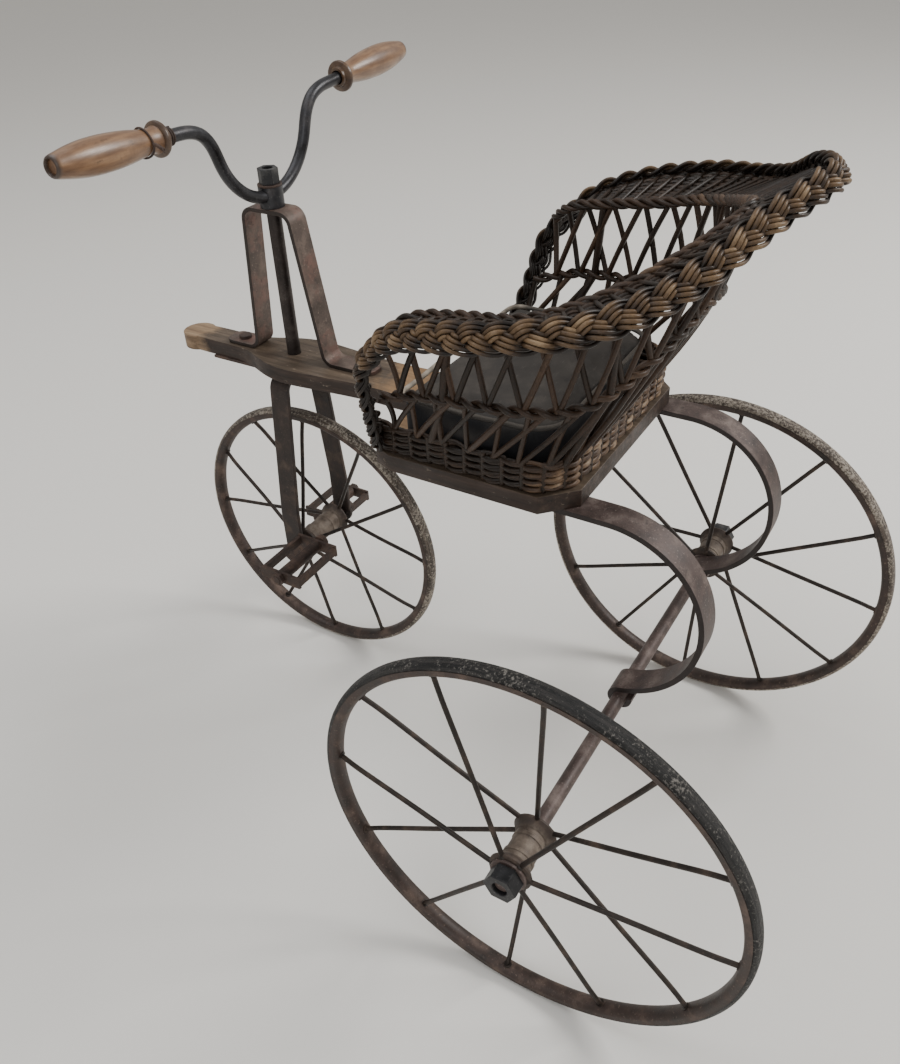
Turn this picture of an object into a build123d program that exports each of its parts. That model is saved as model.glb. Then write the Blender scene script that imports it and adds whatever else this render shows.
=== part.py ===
from build123d import *
import os
from math import atan2, cos, degrees, radians, sin

# Child's pedal tricycle with a wicker tub seat.
# Millimetres, +Z up, the front wheel points towards -Y, the rider's left is +X.
# The origin lies on the ground under the middle of the whole tricycle.

# planes and heights -----------------------------------------------------------
X_BODY = -49.5          # centre plane of board, seat, fork and handlebar
X_AXLE = 29.5           # middle of the rear axle, which sits slid to the left
Y_STEER = -220.0        # steering axis, straight above the front hub
Y_REAR = 195.0          # rear axle
GAP = 0.3               # clearance between parts that move past each other
RUN = 0.05              # radial clearance of a running fit

# wheels -----------------------------------------------------------------------
R_FRONT, R_REAR = 155.0, 180.0
RIM_W, RIM_WALL = 14.0, 1.6
TYRE_PROUD = 1.8        # how far the tread stands above the channel's edges
SPOKES, SPOKE_D = 12, 4.2
HUB_FLANGE_D, HUB_BARREL_D, FLANGE_T = 36.0, 25.0, 3.5
AXLE_D = 12.5
REAR_HUB_IN, REAR_HUB_OUT = 189.0, 233.0      # hub faces measured from X_AXLE
FRONT_HUB_HALF = 30.0
FRONT_AXLE_D = 10.0
Z_FRONT, Z_REAR = R_FRONT, R_REAR

# board and head ---------------------------------------------------------------
BOARD_Z, BOARD_T = 362.0, 16.0
BOARD_TOP = BOARD_Z + BOARD_T
NOSE_Y, NOSE_R = -367.0, 14.0
SEAT_FRONT_Y, SEAT_REAR_Y, SEAT_HALF_W = -46.0, 146.0, 123.0
NECK = [(-340, 14.5), (-300, 15), (-268, 18), (-240, 29), (-212, 35.5), (-180, 34), (-130, 29), (-80, 29)]
STRAP_W, STRAP_T = 24.0, 4.0
BRACKET_TOP = 527.0
POST_D = 13.5
FOOT_BOLT_Y = (-284.0, -132.0)

# fork, handlebar --------------------------------------------------------------
FORK_W, FORK_T = 23.0, 4.5
FORK_TOP_HALF, FORK_HUB_HALF = 29.0, 44.0
BOSS_D, BOSS_H = 23.0, 19.0
BAR_D = 11.0
BAR_SIDE = [(8, 538), (28, 544.5), (46, 559), (57, 576), (64, 594), (74, 607), (90, 613.5), (108, 615)]
GRIP_X, GRIP_Z, GRIP_L, GRIP_RISE = 121.0, 616.0, 108.0, 3.0
FERRULE_D, FERRULE_T = 28.5, 5.0

# cranks and pedals --------------------------------------------------------------
CRANK, CRANK_ANGLE = 55.0, 35.0
ARM_IN, ARM_T, ARM_W = 48.5, 6.0, 15.0
PIN_D = 8.0
PEDAL_IN, PEDAL_L, PEDAL_W, PEDAL_H, PLATE_T = 57.0, 65.0, 50.0, 13.0, 3.0

# springs ------------------------------------------------------------------------
SPRING_HALF, SPRING_W, SPRING_T = 94.0, 27.0, 5.0
SPRING_Y = 172.0        # centre of the big curve
SPRING_BOLT_Y = (78.0, 112.0)

# wicker seat: (half width, y, z) stations from the front corner to the back ----
BASE_TOP_Z, BASE_T = 405.0, 6.0
BASE = [(113, -34), (117, -10), (118, 40), (118, 104), (110, 126), (88, 138), (45, 140), (0, 140)]
MID = [(136, -14, 441), (139, 26, 453), (138, 84, 457), (131, 127, 459), (119, 157, 466),
       (90, 180, 482), (48, 196, 500), (0, 203, 510)]
ROPE = [(150, 0, 500), (139, 22, 517), (137, 64, 525), (138, 108, 531), (130, 140, 540),
        (98, 175, 553), (53, 204, 569), (0, 223, 583)]
RIM = [(163, -10, 482), (181, 29, 519), (195, 75, 536), (199, 110, 543), (193, 150, 550),
       (172, 186, 556), (125, 224, 572), (63, 255, 599), (0, 277, 612)]
RIM_FOOT = [(119, -34, 386), (134, -27, 415), (147, -21, 441), (156, -17, 462)]
RIM_D, ROPE_D, MID_D, STAKE_D, BRIM_T = 23.0, 9.0, 9.0, 4.4, 4.0
STAKES = 22
PAD_Z, PAD_TOP, PAD_HALF_W, PAD_Y = 380.5, 432.0, 108.0, (-24.0, 126.0)


# helpers ------------------------------------------------------------------------
def rod_x(x0, x1, y, z, d):
    """A round bar along X between x0 and x1."""
    return Plane((x0, y, z), x_dir=(0, 1, 0), z_dir=(1, 0, 0)) * extrude(Circle(d / 2), x1 - x0)


def rod_z(z0, z1, x, y, d):
    """A round bar along Z between z0 and z1."""
    return Pos(x, y, z0) * extrude(Circle(d / 2), z1 - z0)


def hex_z(z0, z1, x, y, flats):
    return Pos(x, y, z0) * extrude(RegularPolygon(flats / 2, 6, major_radius=False), z1 - z0)


def hex_x(x0, x1, y, z, flats):
    return Plane((x0, y, z), x_dir=(0, 1, 0), z_dir=(1, 0, 0)) * extrude(
        RegularPolygon(flats / 2, 6, major_radius=False), x1 - x0)


def rod_between(a, b, d):
    """A round bar from point a to point b."""
    a, b = Vector(*a), Vector(*b)
    return Plane(a, z_dir=b - a) * extrude(Circle(d / 2), (b - a).length)


def strap_x(points, radius, x_mid, width, thick):
    """A flat bar bent in the YZ plane, its width along X."""
    strip = trace(FilletPolyline(*points, radius=radius), thick)
    return extrude(Plane.YZ.offset(x_mid - width / 2) * strip, width)


def both_sides(stations):
    """The stations of one side, then their mirror images, as 3-D points."""
    left = [(X_BODY + s[0], s[1], s[2]) for s in stations]
    right = [(X_BODY - s[0], s[1], s[2]) for s in reversed(stations[:-1])]
    return left + right


def tube(points, d):
    path = Spline(*points)
    return sweep(Plane(path @ 0, z_dir=path % 0) * Circle(d / 2), path=path)


# board, head bracket, springs ----------------------------------------------------
def board_outline():
    """Rounded nose, swelling round the post, neck and broad seat part."""
    left = [(X_BODY + w, y) for y, w in NECK]
    right = [(X_BODY - w, y) for y, w in reversed(NECK)]
    w, chamfer = SEAT_HALF_W, 26
    seat_l = [(X_BODY + NECK[-1][1], SEAT_FRONT_Y), (X_BODY + w - 24, SEAT_FRONT_Y),
              (X_BODY + w - 7, SEAT_FRONT_Y + 7), (X_BODY + w, SEAT_FRONT_Y + 24),
              (X_BODY + w, SEAT_REAR_Y - chamfer), (X_BODY + w - chamfer, SEAT_REAR_Y)]
    seat_r = [(2 * X_BODY - x, y) for x, y in reversed(seat_l)]
    nose = ThreePointArc(right[-1], (X_BODY, NOSE_Y), left[0])
    return make_face([nose, Spline(*left), Polyline(left[-1], *seat_l, *seat_r, right[0]), Spline(*right)])


def deck_board():
    board = Pos(0, 0, BOARD_Z) * extrude(board_outline(), BOARD_T)
    board -= rod_z(BOARD_Z - 1, BOARD_TOP + 1, X_BODY, Y_STEER, POST_D + 2 * RUN)
    for y in FOOT_BOLT_Y:
        board -= rod_z(BOARD_Z - 1, BOARD_TOP + 1, X_BODY, y, 6)
    for side in (-1, 1):
        for y in SPRING_BOLT_Y:
            board -= rod_z(BOARD_Z - 1, BOARD_TOP + 1, X_BODY + side * SPRING_HALF, y, 6)
    return board


def head_bracket():
    """Inverted U of flat bar over the post, with a foot bent out on each leg."""
    z_foot, z_top = BOARD_TOP + STRAP_T / 2, BRACKET_TOP - STRAP_T / 2
    line = [(-302, z_foot), (-258, z_foot), (-248, z_top), (-195, z_top), (-172, z_foot), (-116, z_foot)]
    bar = strap_x(line, 11, X_BODY, STRAP_W, STRAP_T)
    bar -= rod_z(z_top - 5, z_top + 5, X_BODY, Y_STEER, POST_D + 2 * RUN)
    for y in FOOT_BOLT_Y:
        bar -= rod_z(BOARD_TOP - 1, BOARD_TOP + STRAP_T + 1, X_BODY, y, 6)
    upright = bar.edges().filter_by(Axis.Z)
    ends = [e for e in upright if e.center().Y < line[0][0] + 1 or e.center().Y > line[-1][0] - 1]
    return fillet(ends, 9)


def bracket_bolts():
    """Round-headed bolts through both feet, with square-cornered nuts below."""
    bolts = []
    for y, under in zip(FOOT_BOLT_Y, (3.0, 0.0)):
        z_nut = BOARD_Z - under
        bolt = rod_z(z_nut - 9, BOARD_TOP + STRAP_T, X_BODY, y, 6)
        head = Pos(X_BODY, y, BOARD_TOP + STRAP_T) * extrude(Circle(6.5), 3.5)
        bolts.append(bolt + head + hex_z(z_nut - 6, z_nut, X_BODY, y, 11))
    return Compound(children=bolts)


def nose_strap():
    """Thin plate under the nose that the front nut bears on."""
    plate = Pos(X_BODY, -288, BOARD_Z - 1.5) * Box(34, 60, 3)
    return plate - rod_z(BOARD_Z - 5, BOARD_Z + 1, X_BODY, FOOT_BOLT_Y[0], 6)


def c_spring(side):
    """Flat-bar C spring: under the board, round the back, rolled over the axle."""
    z_top = BOARD_Z - SPRING_T / 2
    eye_r = AXLE_D / 2 + SPRING_T / 2
    rise, back = z_top - Z_REAR, Y_REAR - SPRING_Y
    radius = (rise**2 + back**2 - eye_r**2) / (2 * (rise + eye_r))
    z_mid = z_top - radius
    toward = degrees(atan2(Z_REAR - z_mid, Y_REAR - SPRING_Y))
    line = [Line((52, z_top), (SPRING_Y, z_top)),
            CenterArc((SPRING_Y, z_mid), radius, toward, 90 - toward),
            CenterArc((Y_REAR, Z_REAR), eye_r, toward + 180, 265)]
    x0 = X_BODY + side * SPRING_HALF - SPRING_W / 2
    strip = None
    for edge in line:
        piece = trace(edge, SPRING_T)
        strip = piece if strip is None else strip + piece
    strap = extrude(Plane.YZ.offset(x0) * strip, SPRING_W)
    strap -= rod_x(x0 - 1, x0 + SPRING_W + 1, Y_REAR, Z_REAR, AXLE_D)
    for y in SPRING_BOLT_Y:
        strap -= rod_z(z_top - 4, z_top + 4, x0 + SPRING_W / 2, y, 6)
    return strap


def spring_bolts():
    bolts = []
    z_nut = BOARD_Z - SPRING_T
    for side in (-1, 1):
        for y in SPRING_BOLT_Y:
            x = X_BODY + side * SPRING_HALF
            bolt = rod_z(z_nut - 8, BOARD_TOP, x, y, 6) + rod_z(BOARD_TOP, BOARD_TOP + 2, x, y, 14)
            bolts.append(bolt + hex_z(z_nut - 5, z_nut, x, y, 11))
    return Compound(children=bolts)


# rear axle -----------------------------------------------------------------------
def rear_axle():
    half = REAR_HUB_OUT + 13     # ends a little inside the nuts
    axle = rod_x(X_AXLE - half, X_AXLE + half, Y_REAR, Z_REAR, AXLE_D)
    return chamfer(axle.edges().filter_by(GeomType.CIRCLE), 1.2)


def ring_x(x0, x1, y, z, d_out, d_in):
    return rod_x(x0, x1, y, z, d_out) - rod_x(x0 - 1, x1 + 1, y, z, d_in)


def axle_washers():
    rings = []
    for a, b, d in ((REAR_HUB_IN - 2.3, REAR_HUB_IN - GAP, 24), (REAR_HUB_OUT + GAP, REAR_HUB_OUT + 2.8, 30)):
        rings.append(ring_x(X_AXLE + a, X_AXLE + b, Y_REAR, Z_REAR, d, AXLE_D))
        rings.append(ring_x(X_AXLE - b, X_AXLE - a, Y_REAR, Z_REAR, d, AXLE_D))
    return Compound(children=rings)


def axle_nuts():
    nuts = []
    a, b = REAR_HUB_OUT + 2.8, REAR_HUB_OUT + 16
    for x0, x1 in ((X_AXLE + a, X_AXLE + b), (X_AXLE - b, X_AXLE - a)):
        nuts.append(hex_x(x0, x1, Y_REAR, Z_REAR, 24) - rod_x(x0 - 1, x1 + 1, Y_REAR, Z_REAR, AXLE_D))
    return Compound(children=nuts)


# wheels ----------------------------------------------------------------------------
def revolve_x(section, x, y, z):
    """Turn a section drawn as (across, radius) round the wheel's axis."""
    frame = Plane((x, y, z), x_dir=(1, 0, 0), z_dir=(0, -1, 0))
    return revolve(frame * section, Axis((x, y, z), (1, 0, 0)))


def rim_section(r_tyre, inset):
    """Half-round channel section, drawn at its outside or at its inside wall."""
    half, edge = RIM_W / 2 - inset, r_tyre - TYRE_PROUD
    low = r_tyre - 5.0
    side = Polyline((-half, low), (-half, edge), (half, edge), (half, low))
    return make_face([side, ThreePointArc((-half, low), (0, low - half), (half, low))])


def rim(r_tyre, x, y, z):
    channel = rim_section(r_tyre, 0) - Pos(0, 0.5) * rim_section(r_tyre, RIM_WALL)
    return revolve_x(channel, x, y, z)


def tyre(r_tyre, x, y, z):
    half = RIM_W / 2 - RIM_WALL
    fill = Pos(0, 0.5) * rim_section(r_tyre, RIM_WALL)
    tread = make_face(Polyline((-half, r_tyre - 3), (-half, r_tyre - 0.7), (-half + 1.2, r_tyre),
                               (half - 1.2, r_tyre), (half, r_tyre - 0.7), (half, r_tyre - 3), close=True))
    return revolve_x(fill + tread, x, y, z)


def spokes(r_tyre, x, y, z, half_hub, start):
    """Twelve rods from the rim to the two flanges in turn."""
    rods = []
    r_in, r_out = HUB_BARREL_D / 2 + 1.5, r_tyre - 11.0
    for i in range(SPOKES):
        a = radians(start + 360 / SPOKES * i)
        off = (half_hub - FLANGE_T / 2) * (1 if i % 2 else -1)
        foot = (x + off, y + r_in * cos(a), z + r_in * sin(a))
        rods.append(rod_between(foot, (x, y + r_out * cos(a), z + r_out * sin(a)), SPOKE_D))
    return Compound(children=rods)


def hub(x, y, z, half, bore):
    body = rod_x(x - half, x + half, y, z, HUB_BARREL_D)
    for a, b in ((-half, -half + FLANGE_T), (half - FLANGE_T, half)):
        body += rod_x(x + a, x + b, y, z, HUB_FLANGE_D)
    return body - rod_x(x - half - 1, x + half + 1, y, z, bore)


def front_axle():
    return rod_x(X_BODY - ARM_IN - ARM_T, X_BODY + ARM_IN + ARM_T, Y_STEER, Z_FRONT, FRONT_AXLE_D)


# fork, post, handlebar ---------------------------------------------------------------
def fork():
    z_top = BOARD_Z - GAP - FORK_T / 2
    line = [(-FORK_HUB_HALF, Z_FRONT), (-FORK_HUB_HALF, 205), (-FORK_TOP_HALF, z_top),
            (FORK_TOP_HALF, z_top), (FORK_HUB_HALF, 205), (FORK_HUB_HALF, Z_FRONT)]
    strip = trace(FilletPolyline(*line, radius=13), FORK_T)
    plane = Plane((X_BODY, Y_STEER + FORK_W / 2, 0), x_dir=(1, 0, 0), z_dir=(0, -1, 0))
    body = extrude(plane * strip, FORK_W)
    for side in (-1, 1):
        x0 = X_BODY + side * FORK_HUB_HALF - FORK_T / 2
        body += rod_x(x0, x0 + FORK_T, Y_STEER, Z_FRONT, 26)
    return body - rod_x(X_BODY - 60, X_BODY + 60, Y_STEER, Z_FRONT, FRONT_AXLE_D + 2 * RUN)


def steering_post():
    z0 = BOARD_Z - GAP
    z_boss = BRACKET_TOP + GAP + BOSS_H
    post = rod_z(z0, z_boss, X_BODY, Y_STEER, POST_D)
    return post + rod_z(z_boss, z_boss + 11, X_BODY, Y_STEER, 10)


def handlebar():
    z0 = BRACKET_TOP + GAP
    boss = rod_z(z0, z0 + BOSS_H, X_BODY, Y_STEER, BOSS_D)
    rise = sin(radians(GRIP_RISE))
    line = BAR_SIDE + [(GRIP_X, GRIP_Z), (GRIP_X + GRIP_L - 6, GRIP_Z + rise * (GRIP_L - 6))]
    for side in (-1, 1):
        boss += tube([(X_BODY + side * x, Y_STEER, z) for x, z in line], BAR_D)
    return boss - rod_z(z0 - 1, z0 + BOSS_H + 1, X_BODY, Y_STEER, POST_D)


def grip_plane(side):
    a = radians(GRIP_RISE)
    return Plane((X_BODY + side * GRIP_X, Y_STEER, GRIP_Z), x_dir=(0, 1, 0),
                 z_dir=(side * cos(a), 0, sin(a)))


def ferrule(side):
    disc = extrude(Circle(FERRULE_D / 2), FERRULE_T) - extrude(Circle(BAR_D / 2 + 0.6), FERRULE_T)
    return grip_plane(side) * disc


def grip(side):
    """Turned wooden grip: narrow neck, full middle, rounded end with a hole."""
    a, r = FERRULE_T, BAR_D / 2 + 0.6
    curve = Spline((10.5, a), (9.6, a + 8), (11.8, a + 30), (13.9, a + 60), (12.6, a + 84), (7.8, GRIP_L))
    wall = Polyline((7.8, GRIP_L), (r, GRIP_L), (r, a), (10.5, a))
    section = Plane.XZ * make_face([curve, wall])
    return grip_plane(side) * revolve(section, Axis.Z)


def bar_washer():
    z0 = BRACKET_TOP + GAP + BOSS_H
    return rod_z(z0, z0 + 2, X_BODY, Y_STEER, 23) - rod_z(z0 - 1, z0 + 3, X_BODY, Y_STEER, 10)


def bar_nut():
    z0 = BRACKET_TOP + GAP + BOSS_H + 2
    nut = hex_z(z0, z0 + 14, X_BODY, Y_STEER, 17)
    return nut - rod_z(z0 - 1, z0 + 15, X_BODY, Y_STEER, 10)


def wire_ring():
    """Loop of wire tied round the neck of the left grip."""
    ring = Pos(0, 0, FERRULE_T + 13) * Torus(11.3, 1.0)
    return grip_plane(1) * ring


# cranks and pedals ----------------------------------------------------------------------
def crank_end(side):
    a = radians(CRANK_ANGLE)
    return Y_STEER + side * CRANK * cos(a), Z_FRONT + side * CRANK * sin(a)


def crank(side):
    """Arm on the axle's end with the pedal pin standing out of it."""
    y, z = crank_end(side)
    x0, x1 = X_BODY + side * ARM_IN, X_BODY + side * (ARM_IN + ARM_T)
    lo, hi = min(x0, x1), max(x0, x1)
    arm = rod_x(lo, hi, Y_STEER, Z_FRONT, ARM_W + 5) + rod_x(lo, hi, y, z, ARM_W)
    mid = Plane(((lo + hi) / 2, (Y_STEER + y) / 2, (Z_FRONT + z) / 2), x_dir=(1, 0, 0),
                z_dir=(0, y - Y_STEER, z - Z_FRONT))
    arm += mid * Box(ARM_T, ARM_W - 3, CRANK)
    arm -= rod_x(lo - 1, hi + 1, Y_STEER, Z_FRONT, FRONT_AXLE_D)
    end = X_BODY + side * (PEDAL_IN + PEDAL_L + 6)
    return arm + rod_x(min(x1, end), max(x1, end), y, z, PIN_D)


def pedal(side):
    """Open cage: two end plates, two side bars and the sleeve on the pin."""
    y, z = crank_end(side)
    lo = min(X_BODY + side * PEDAL_IN, X_BODY + side * (PEDAL_IN + PEDAL_L))
    cage = rod_x(lo, lo + PEDAL_L, y, z, 13)
    for x in (lo + PLATE_T / 2, lo + PEDAL_L - PLATE_T / 2):
        cage += Pos(x, y, z) * Box(PLATE_T, PEDAL_W, PEDAL_H)
    for edge in (-1, 1):
        cage += Pos(lo + PEDAL_L / 2, y + edge * (PEDAL_W / 2 - 2), z) * Box(PEDAL_L, 4, 9)
    return cage - rod_x(lo - 1, lo + PEDAL_L + 1, y, z, PIN_D + 2 * RUN)


def pedal_nuts():
    nuts = []
    for side in (-1, 1):
        y, z = crank_end(side)
        a = X_BODY + side * (PEDAL_IN + PEDAL_L + GAP)
        b = a + side * 5
        lo, hi = min(a, b), max(a, b)
        nuts.append(hex_x(lo, hi, y, z, 13) - rod_x(lo - 1, hi + 1, y, z, PIN_D))
    return Compound(children=nuts)


# wicker seat --------------------------------------------------------------------------------
def ribbon(low, high, thick):
    """Thin wall between two curves."""
    face = Face.make_surface_from_curves(Spline(*low), Spline(*high))
    return thicken(face, thick)


def basket_base():
    """Closely woven band standing on the board."""
    low = both_sides([(w, y, BOARD_TOP) for w, y in BASE])
    high = both_sides([(w + 3, y + 1, BASE_TOP_Z) for w, y in BASE])
    return ribbon(low, high, BASE_T)


def stakes(low, high, d, lean_by):
    """Crossing rods between two levels, one layer leaning each way."""
    lo, hi = Spline(*low), Spline(*high)
    rods = []
    for i in range(STAKES):
        for lean in (-1, 1):
            u = (i + 0.5) / STAKES
            v = min(max(u + lean * lean_by / STAKES, 0), 1)
            a, b = lo @ (0.015 + 0.97 * u), hi @ (0.015 + 0.97 * v)
            shift = Vector(X_BODY - a.X, 60 - a.Y, 0).normalized() * (lean * (d / 2 + 0.1))
            rods.append(rod_between(tuple(a + shift), tuple(b + shift), d))
    return Compound(children=rods)


def lower_stakes():
    low = both_sides([(w, y + 1, BASE_TOP_Z - 3) for w, y in BASE])
    return stakes(low, both_sides(MID), STAKE_D, 0.7)


def upper_stakes():
    return stakes(both_sides(MID), both_sides(ROPE), STAKE_D, 0.95)


def basket_brim():
    """Closely woven band that turns outward from the rope to the border."""
    return ribbon(both_sides(ROPE), both_sides(RIM), BRIM_T)


def basket_border():
    """Thick plaited border round the brim and down both front edges."""
    foot = [(X_BODY + w, y, z) for w, y, z in RIM_FOOT]
    mirror = [(2 * X_BODY - x, y, z) for x, y, z in reversed(foot)]
    return tube(foot + both_sides(RIM) + mirror, RIM_D)


def seat_pad():
    w, (y0, y1) = PAD_HALF_W, PAD_Y
    outline = Polyline((-w, y0), (w, y0), (w, y1 - 22), (w - 22, y1), (22 - w, y1), (-w, y1 - 22), close=True)
    return Pos(X_BODY, 0, PAD_Z) * extrude(make_face(outline), PAD_TOP - PAD_Z)


# all sub-parts -------------------------------------------------------------------------------
def wheel_parts(name, r, x, y, half, bore, start):
    return {
        f"{name}_rim": rim(r, x, y, r),
        f"{name}_tyre": tyre(r, x, y, r),
        f"{name}_spokes": spokes(r, x, y, r, half, start),
        f"{name}_hub": hub(x, y, r, half, bore),
    }


def all_parts():
    hub_mid, hub_half = (REAR_HUB_IN + REAR_HUB_OUT) / 2, (REAR_HUB_OUT - REAR_HUB_IN) / 2
    bore = AXLE_D + 2 * RUN
    parts = {
        "deck_board": deck_board(), "head_bracket": head_bracket(), "bracket_bolts": bracket_bolts(),
        "nose_strap": nose_strap(), "left_spring": c_spring(1), "right_spring": c_spring(-1),
        "spring_bolts": spring_bolts(), "rear_axle": rear_axle(), "axle_washers": axle_washers(),
        "axle_nuts": axle_nuts(), "basket_base": basket_base(), "lower_stakes": lower_stakes(),
        "mid_band": tube(both_sides(MID), MID_D), "upper_stakes": upper_stakes(),
        "brim_rope": tube(both_sides(ROPE), ROPE_D), "basket_brim": basket_brim(),
        "basket_border": basket_border(), "seat_pad": seat_pad(),
        "fork": fork(), "steering_post": steering_post(), "handlebar": handlebar(),
        "bar_washer": bar_washer(), "bar_nut": bar_nut(), "wire_ring": wire_ring(),
        "left_ferrule": ferrule(1), "right_ferrule": ferrule(-1),
        "left_grip": grip(1), "right_grip": grip(-1),
        "front_axle": front_axle(), "left_crank": crank(1), "right_crank": crank(-1),
        "left_pedal": pedal(1), "right_pedal": pedal(-1), "pedal_nuts": pedal_nuts(),
    }
    parts |= wheel_parts("front", R_FRONT, X_BODY, Y_STEER, FRONT_HUB_HALF, FRONT_AXLE_D, 1)
    parts |= wheel_parts("left", R_REAR, X_AXLE + hub_mid, Y_REAR, hub_half, bore, 25)
    parts |= wheel_parts("right", R_REAR, X_AXLE - hub_mid, Y_REAR, hub_half, bore, 56)
    return parts


os.makedirs("parts", exist_ok=True)
for node, solid in all_parts().items():
    export_step(solid, f"parts/{node}.step")
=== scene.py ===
import math
import random

import bmesh
import bpy
import numpy as np
from mathutils import Matrix, Vector


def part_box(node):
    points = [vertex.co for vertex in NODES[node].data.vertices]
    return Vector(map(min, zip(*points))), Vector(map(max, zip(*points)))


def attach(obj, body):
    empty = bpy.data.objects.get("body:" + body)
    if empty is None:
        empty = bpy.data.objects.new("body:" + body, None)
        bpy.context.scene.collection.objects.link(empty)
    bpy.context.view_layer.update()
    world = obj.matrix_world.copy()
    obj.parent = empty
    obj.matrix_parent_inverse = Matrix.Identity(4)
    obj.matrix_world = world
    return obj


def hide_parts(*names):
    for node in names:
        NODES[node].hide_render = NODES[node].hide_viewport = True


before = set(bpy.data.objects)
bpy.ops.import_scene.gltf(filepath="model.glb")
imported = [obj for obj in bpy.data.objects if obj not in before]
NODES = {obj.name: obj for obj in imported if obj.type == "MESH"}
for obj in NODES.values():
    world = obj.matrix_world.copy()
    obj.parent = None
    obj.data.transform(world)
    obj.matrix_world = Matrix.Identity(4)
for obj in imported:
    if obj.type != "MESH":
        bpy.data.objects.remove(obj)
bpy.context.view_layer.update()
rng = random.Random(7)

# ---------------------------------------------------------------- measures (metres)
X_BODY, X_AXLE = -0.0495, 0.0295
Y_STEER, Y_REAR = -0.220, 0.195
R_FRONT, R_REAR = 0.155, 0.180
HUB_MID, HUB_HALF, FRONT_HUB_HALF = 0.211, 0.022, 0.030
GRIP_AT, GRIP_Z, GRIP_TILT = 0.121, 0.616, 3.0
FLANGE_T = 0.0035
PAD_CELL, PAD_STEPS, PAD_LIMIT, PAD_PRESSURE = 0.005, 20, 0.005, 4.0
WELT_R = 0.0022
FLOOR_HALF = 40
MM = 0.001

# wicker levels: (half width, y, z) in mm from the front corner to the back
BASE_LOW = [(113, -34, 379), (117, -10, 379), (118, 40, 379), (118, 104, 379),
            (110, 126, 379), (88, 138, 379), (45, 140, 379), (0, 140, 379)]
BASE_HIGH = [(w + 3, y + 1, 406) for w, y, z in BASE_LOW]
MID = [(136, -14, 441), (139, 26, 453), (138, 84, 457), (131, 127, 459), (119, 157, 466),
       (90, 180, 482), (48, 196, 500), (0, 203, 510)]
ROPE = [(150, 0, 500), (139, 22, 517), (137, 64, 525), (138, 108, 531), (130, 140, 540),
        (98, 175, 553), (53, 204, 569), (0, 223, 583)]
RIM = [(163, -10, 482), (181, 29, 519), (195, 75, 536), (199, 110, 543), (193, 150, 550),
       (172, 186, 556), (125, 224, 572), (63, 255, 599), (0, 277, 612)]
RIM_FOOT = [(119, -34, 386), (134, -27, 415), (147, -21, 441), (156, -17, 462)]


# ---------------------------------------------------------------- material helpers
class Mat:
    """A small wrapper that adds nodes to one material."""

    def __init__(self, name):
        self.m = bpy.data.materials.new(name)
        self.m.use_nodes = True
        self.t = self.m.node_tree
        self.bsdf = self.t.nodes["Principled BSDF"]
        self.pos = self.t.nodes.new("ShaderNodeTexCoord").outputs["Object"]

    def node(self, kind, inputs=None, **props):
        n = self.t.nodes.new(kind)
        for k, v in props.items():
            setattr(n, k, v)
        for k, v in (inputs or {}).items():
            self.put(n.inputs[k], v)
        return n

    def put(self, socket, value):
        if isinstance(value, bpy.types.NodeSocket):
            self.t.links.new(value, socket)
        else:
            socket.default_value = value

    def noise(self, scale, detail=4, rough=0.6, stretch=None):
        vec = self.pos
        if stretch:
            vec = self.node("ShaderNodeMapping", {"Vector": self.pos, "Scale": stretch}).outputs[0]
        return self.node("ShaderNodeTexNoise", {"Vector": vec, "Scale": scale, "Detail": detail,
                                                "Roughness": rough}).outputs["Fac"]

    def ramp(self, fac, stops):
        n = self.node("ShaderNodeValToRGB", {"Fac": fac})
        els = n.color_ramp.elements
        while len(els) > len(stops):
            els.remove(els[-1])
        while len(els) < len(stops):
            els.new(0.5)
        for e, (p, c) in zip(els, stops):
            e.position = p
            e.color = (*c, 1) if len(c) == 3 else c
        return n.outputs["Color"]

    def grey(self, fac, lo, hi, a=0.0, b=1.0):
        return self.node("ShaderNodeMapRange", {"Value": fac, "From Min": lo, "From Max": hi,
                                                "To Min": a, "To Max": b}).outputs[0]

    def mix(self, fac, a, b, mode="MIX"):
        n = self.node("ShaderNodeMix", data_type="RGBA", blend_type=mode)
        for socket, v in ((n.inputs[0], fac), (n.inputs[6], a), (n.inputs[7], b)):
            self.put(socket, (*v, 1) if isinstance(v, tuple) and len(v) == 3 else v)
        return n.outputs[2]

    def sum(self, a, b):
        return self.node("ShaderNodeMath", {0: a, 1: b}, operation="ADD").outputs[0]

    def product(self, a, b):
        return self.node("ShaderNodeMath", {0: a, 1: b}, operation="MULTIPLY").outputs[0]

    def facing(self, axis):
        """How far the surface faces along one of the object's axes."""
        normal = self.node("ShaderNodeTexCoord").outputs["Normal"]
        return self.node("ShaderNodeSeparateXYZ", {"Vector": normal}).outputs[axis]

    def tone(self):
        """The tone that a piece's mesh carries at each point."""
        return self.node("ShaderNodeAttribute", attribute_name="tone").outputs["Fac"]

    def bump(self, height, strength, distance, normal=None):
        ins = {"Height": height, "Strength": strength, "Distance": distance}
        if normal:
            ins["Normal"] = normal
        return self.node("ShaderNodeBump", ins).outputs[0]

    def done(self, color, rough, normal=None, metallic=0.0, coat=0.0, specular=0.5):
        b = self.bsdf.inputs
        self.put(b["Base Color"], (*color, 1) if isinstance(color, tuple) else color)
        self.put(b["Roughness"], rough)
        if normal:
            self.put(b["Normal"], normal)
        b["Metallic"].default_value = metallic
        b["Coat Weight"].default_value = coat
        b["Coat Roughness"].default_value = 0.3
        b["Specular IOR Level"].default_value = specular
        return self.m


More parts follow.
